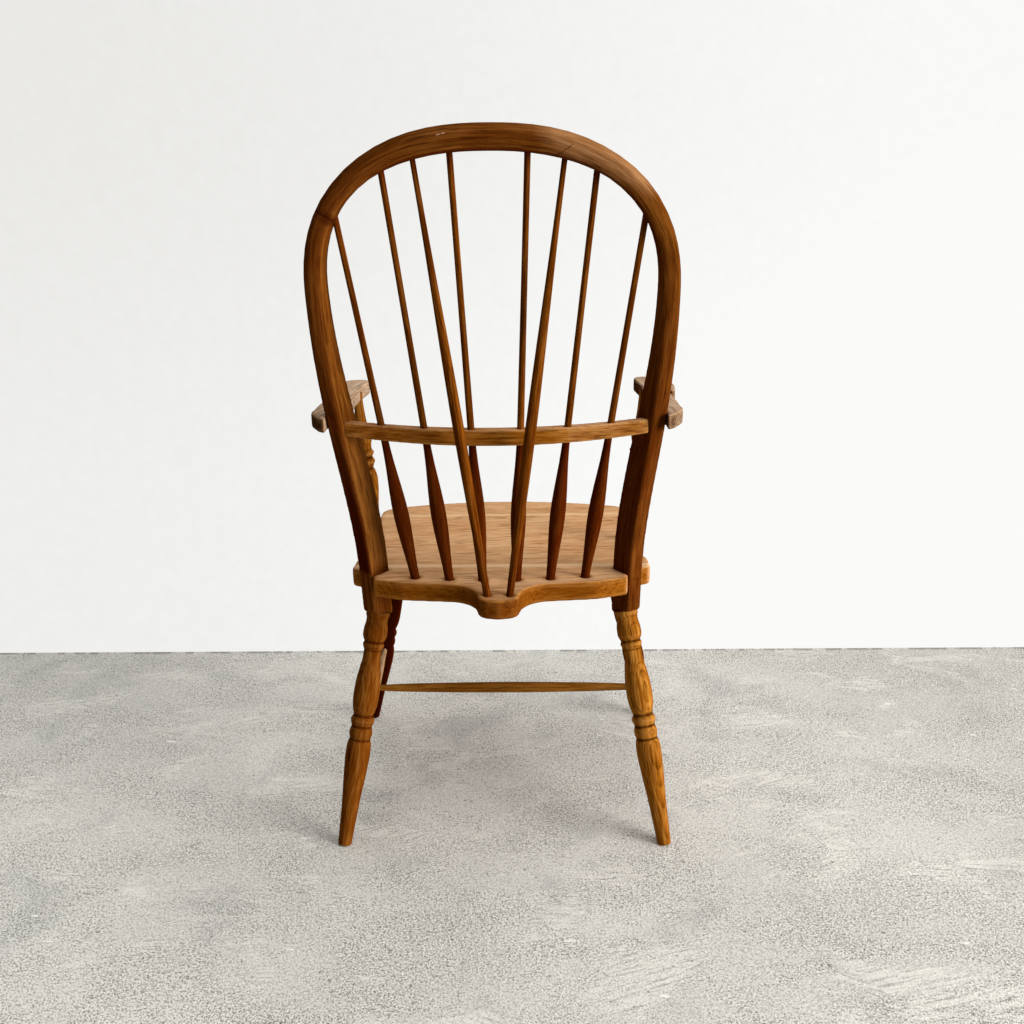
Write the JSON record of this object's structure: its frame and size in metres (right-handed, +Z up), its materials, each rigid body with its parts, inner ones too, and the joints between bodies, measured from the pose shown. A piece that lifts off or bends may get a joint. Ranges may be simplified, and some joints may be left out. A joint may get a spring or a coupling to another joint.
{
  "type": "spindle back armchair",
  "caption": "Armchair with a bent hoop back, turned spindles and brace sticks, a mid rail, shaped arms, a solid seat and turned legs.",
  "frame": {"origin": "on the floor, under the middle of the chair's outline", "axes": "+Z up, +X to the sitter's left, -Y to the front"},
  "size_m": [0.5546, 0.5084, 1.068],
  "materials": {
    "seat_wood": "worn wax over open grain, lighter on top",
    "bow_wood": "brown stain under wax",
    "rail_wood": "brown stain under wax, worn arris",
    "stick_wood": "dark brown stain under wax",
    "arm_wood": "worn grey tan, stain rubbed off",
    "leg_wood": "brown stain under wax, light on the swells",
    "stretcher_wood": "brown stain under wax"
  },
  "bodies": {
    "root": {"seat": "seat_wood", "bow": "bow_wood", "mid_rail": "rail_wood", "spindle_1": "stick_wood", "spindle_2": "stick_wood", "spindle_3": "stick_wood", "spindle_4": "stick_wood", "spindle_5": "stick_wood", "spindle_6": "stick_wood", "brace_stick_left": "stick_wood", "brace_stick_right": "stick_wood", "arm_left": "arm_wood", "arm_right": "arm_wood", "arm_post_left": "leg_wood", "arm_post_right": "leg_wood", "rear_leg_left": "leg_wood", "rear_leg_right": "leg_wood", "front_leg_left": "leg_wood", "front_leg_right": "leg_wood", "side_stretcher_left": "stretcher_wood", "side_stretcher_right": "stretcher_wood", "cross_stretcher": "stretcher_wood"}
  },
  "joints": []
}
